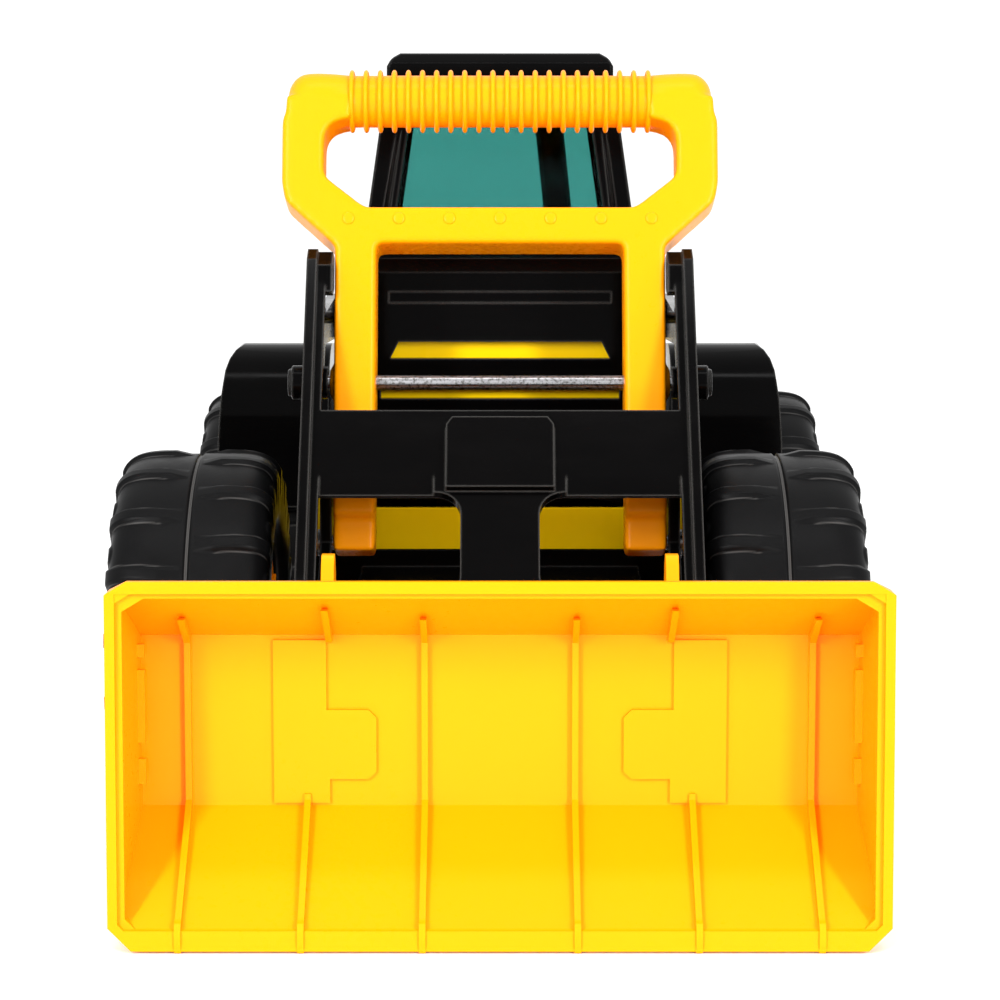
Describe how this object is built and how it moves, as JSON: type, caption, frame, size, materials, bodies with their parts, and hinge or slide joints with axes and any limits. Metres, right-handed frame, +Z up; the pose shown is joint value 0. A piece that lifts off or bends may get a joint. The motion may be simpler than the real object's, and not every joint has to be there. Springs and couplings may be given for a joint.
{
  "type": "toy front loader",
  "caption": "Large ride-by-hand toy front loader with a tilting bucket on lift arms, a ribbed grab handle, tinted cab and four chunky wheels.",
  "frame": {"origin": "middle of the bounding box, on the floor", "axes": "+Z up, -Y towards the bucket (front), +X towards the driver's left"},
  "size_m": [0.26, 0.455, 0.273],
  "materials": {
    "black_plastic": "gloss",
    "yellow_plastic": "satin gloss",
    "yellow_steel": "gloss enamel",
    "bright_steel": "bright drawn",
    "tyre_rubber": "semi-matt moulded",
    "tinted_window": "tinted clear"
  },
  "bodies": {
    "chassis": {"lower_chassis": "black_plastic", "front_body": "yellow_steel", "rear_hood": "yellow_steel", "fender_left": "black_plastic", "fender_right": "black_plastic", "control_tower": "black_plastic", "cab_frame": "black_plastic", "cab_roof": "black_plastic", "windscreen": "tinted_window", "rear_window": "tinted_window", "side_window_left": "tinted_window", "side_window_right": "tinted_window", "exhaust_stack": "black_plastic", "rear_grille": "black_plastic", "rear_bumper": "black_plastic", "lift_pin_left": "bright_steel", "lift_pin_right": "bright_steel", "front_axle": "bright_steel", "rear_axle": "bright_steel", "axle_caps": "bright_steel", "chassis_screws": "bright_steel"},
    "lift_arms": {"arm_frame": "black_plastic", "handle_rod": "bright_steel", "rod_cap_left": "black_plastic", "rod_cap_right": "black_plastic", "bucket_pins": "bright_steel"},
    "handle": {"handle_front": "yellow_plastic", "handle_back": "yellow_plastic", "handle_screws": "bright_steel", "link_pins": "bright_steel"},
    "bucket": {"bucket": "yellow_plastic", "bucket_link_pins": "bright_steel"},
    "tilt_links": {"tilt_link_left": "black_plastic", "tilt_link_right": "black_plastic"},
    "wheel_front_left": {"tyre_front_left": "tyre_rubber", "rim_front_left": "yellow_plastic", "hub_cap_front_left": "yellow_plastic"},
    "wheel_front_right": {"tyre_front_right": "tyre_rubber", "rim_front_right": "yellow_plastic", "hub_cap_front_right": "yellow_plastic"},
    "wheel_rear_left": {"tyre_rear_left": "tyre_rubber", "rim_rear_left": "yellow_plastic", "hub_cap_rear_left": "yellow_plastic"},
    "wheel_rear_right": {"tyre_rear_right": "tyre_rubber", "rim_rear_right": "yellow_plastic", "hub_cap_rear_right": "yellow_plastic"}
  },
  "joints": [
    {"name": "lift", "type": "hinge", "parent": "chassis", "child": "lift_arms", "pos_m": [0, 0.0575, 0.173], "axis": [-1, 0, 0], "range_deg": [0, 38]},
    {"name": "handle_tilt", "type": "hinge", "parent": "lift_arms", "child": "handle", "pos_m": [0, -0.0675, 0.158], "axis": [1, 0, 0], "range_deg": [0, 34]},
    {"name": "bucket_tilt", "type": "hinge", "parent": "lift_arms", "child": "bucket", "pos_m": [0, -0.1655, 0.075], "axis": [1, 0, 0], "range_deg": [0, 42]},
    {"name": "link_swing", "type": "hinge", "parent": "handle", "child": "tilt_links", "pos_m": [0, -0.0808, 0.104], "axis": [1, 0, 0], "range_deg": [-38, 0]},
    {"name": "spin_front_left", "type": "hinge", "parent": "chassis", "child": "wheel_front_left", "pos_m": [0.095, -0.0765, 0.0678], "axis": [1, 0, 0], "continuous": true},
    {"name": "spin_front_right", "type": "hinge", "parent": "chassis", "child": "wheel_front_right", "pos_m": [-0.103, -0.0765, 0.0678], "axis": [1, 0, 0], "continuous": true},
    {"name": "spin_rear_left", "type": "hinge", "parent": "chassis", "child": "wheel_rear_left", "pos_m": [0.103, 0.1475, 0.0678], "axis": [1, 0, 0], "continuous": true},
    {"name": "spin_rear_right", "type": "hinge", "parent": "chassis", "child": "wheel_rear_right", "pos_m": [-0.095, 0.1475, 0.0678], "axis": [1, 0, 0], "continuous": true}
  ],
  "couplings": [
    {"joint": "bucket_tilt", "follows": "handle_tilt", "ratio": 1.214},
    {"joint": "link_swing", "follows": "handle_tilt", "ratio": -1.1025}
  ]
}
